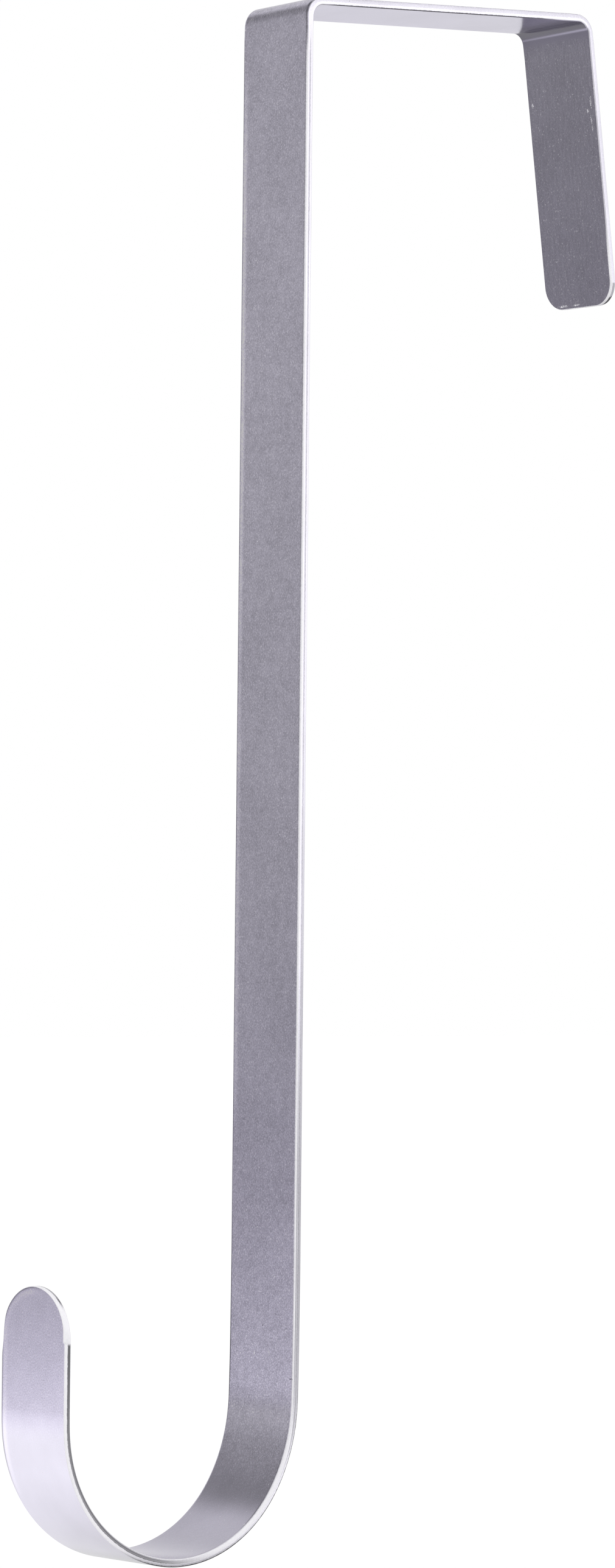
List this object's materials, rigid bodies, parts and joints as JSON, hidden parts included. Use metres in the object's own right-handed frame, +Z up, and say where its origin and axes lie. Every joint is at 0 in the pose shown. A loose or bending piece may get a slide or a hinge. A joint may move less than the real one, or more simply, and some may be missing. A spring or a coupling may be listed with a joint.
{
  "type": "over door hook",
  "caption": "Flat metal strip folded over a door's top edge, with a tongue behind, a long straight shank in front and a rounded J hook at the bottom for hanging things.",
  "frame": {"origin": "middle of the seat, the underside of the band that lies on the door's top edge", "axes": "+Z up along the shank, +Y towards the back of the door, X across the strip"},
  "size_m": [0.015, 0.1026, 0.2305],
  "materials": {
    "satin_metal": "satin plated steel with a fine grain and brighter rounded edges"
  },
  "bodies": {
    "root": {"door_hook": "satin_metal"}
  },
  "joints": []
}
